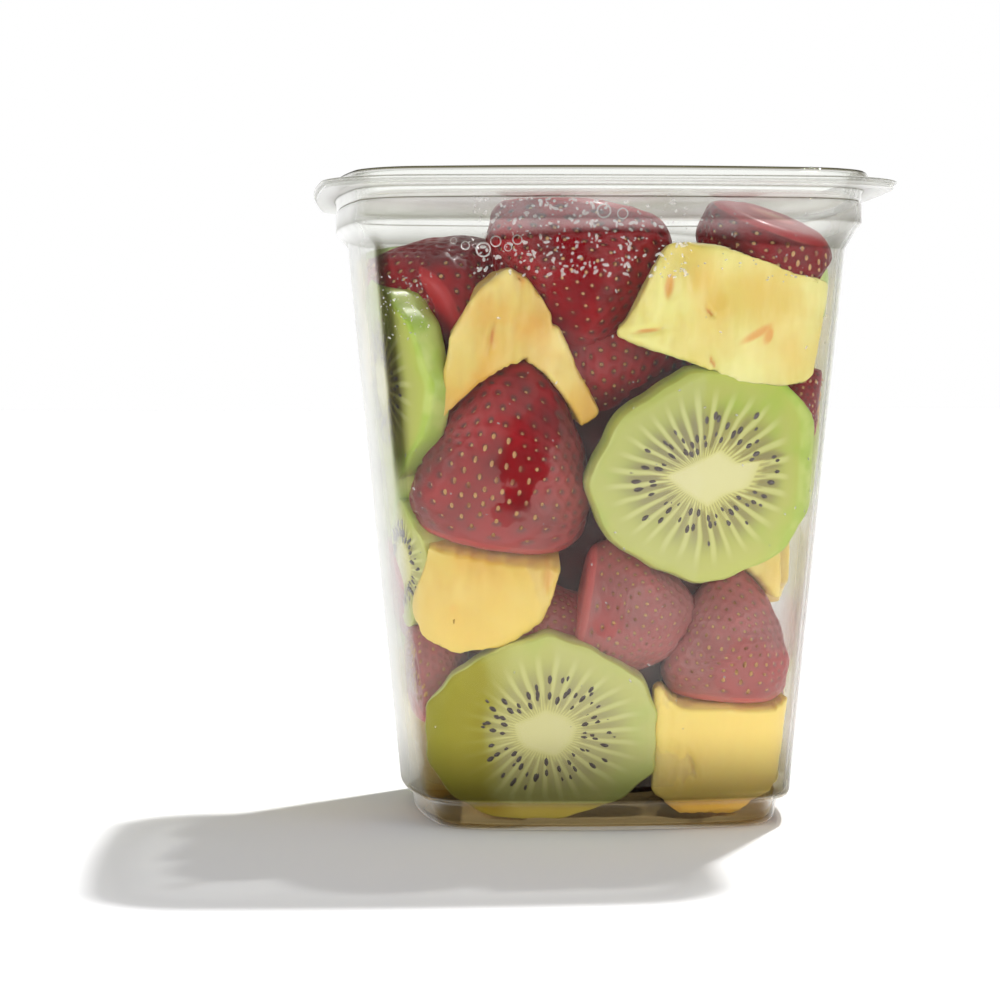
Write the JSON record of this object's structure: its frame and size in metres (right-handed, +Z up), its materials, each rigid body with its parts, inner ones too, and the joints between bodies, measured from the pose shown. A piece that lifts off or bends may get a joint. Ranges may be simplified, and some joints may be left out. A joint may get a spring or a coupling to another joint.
{
  "type": "fruit cup",
  "caption": "Clear tapered square cup with rounded corners and a shut press-on lid, packed to the top with cut kiwi, strawberry and pineapple.",
  "frame": {"origin": "centre of the flat underside that the cup stands on", "axes": "+Z up along the cup's axis, +X to the right along the front face, +Y from the front face to the back one"},
  "size_m": [0.118, 0.118, 0.1326],
  "materials": {
    "cup_plastic": "thin clear glossy plastic",
    "lid_plastic": "thin clear glossy plastic",
    "cut_fruit": "wet cut fruit, green, red and yellow"
  },
  "bodies": {
    "root": {"cup": "cup_plastic", "lid": "lid_plastic", "fruit_heap": "cut_fruit"}
  },
  "joints": []
}
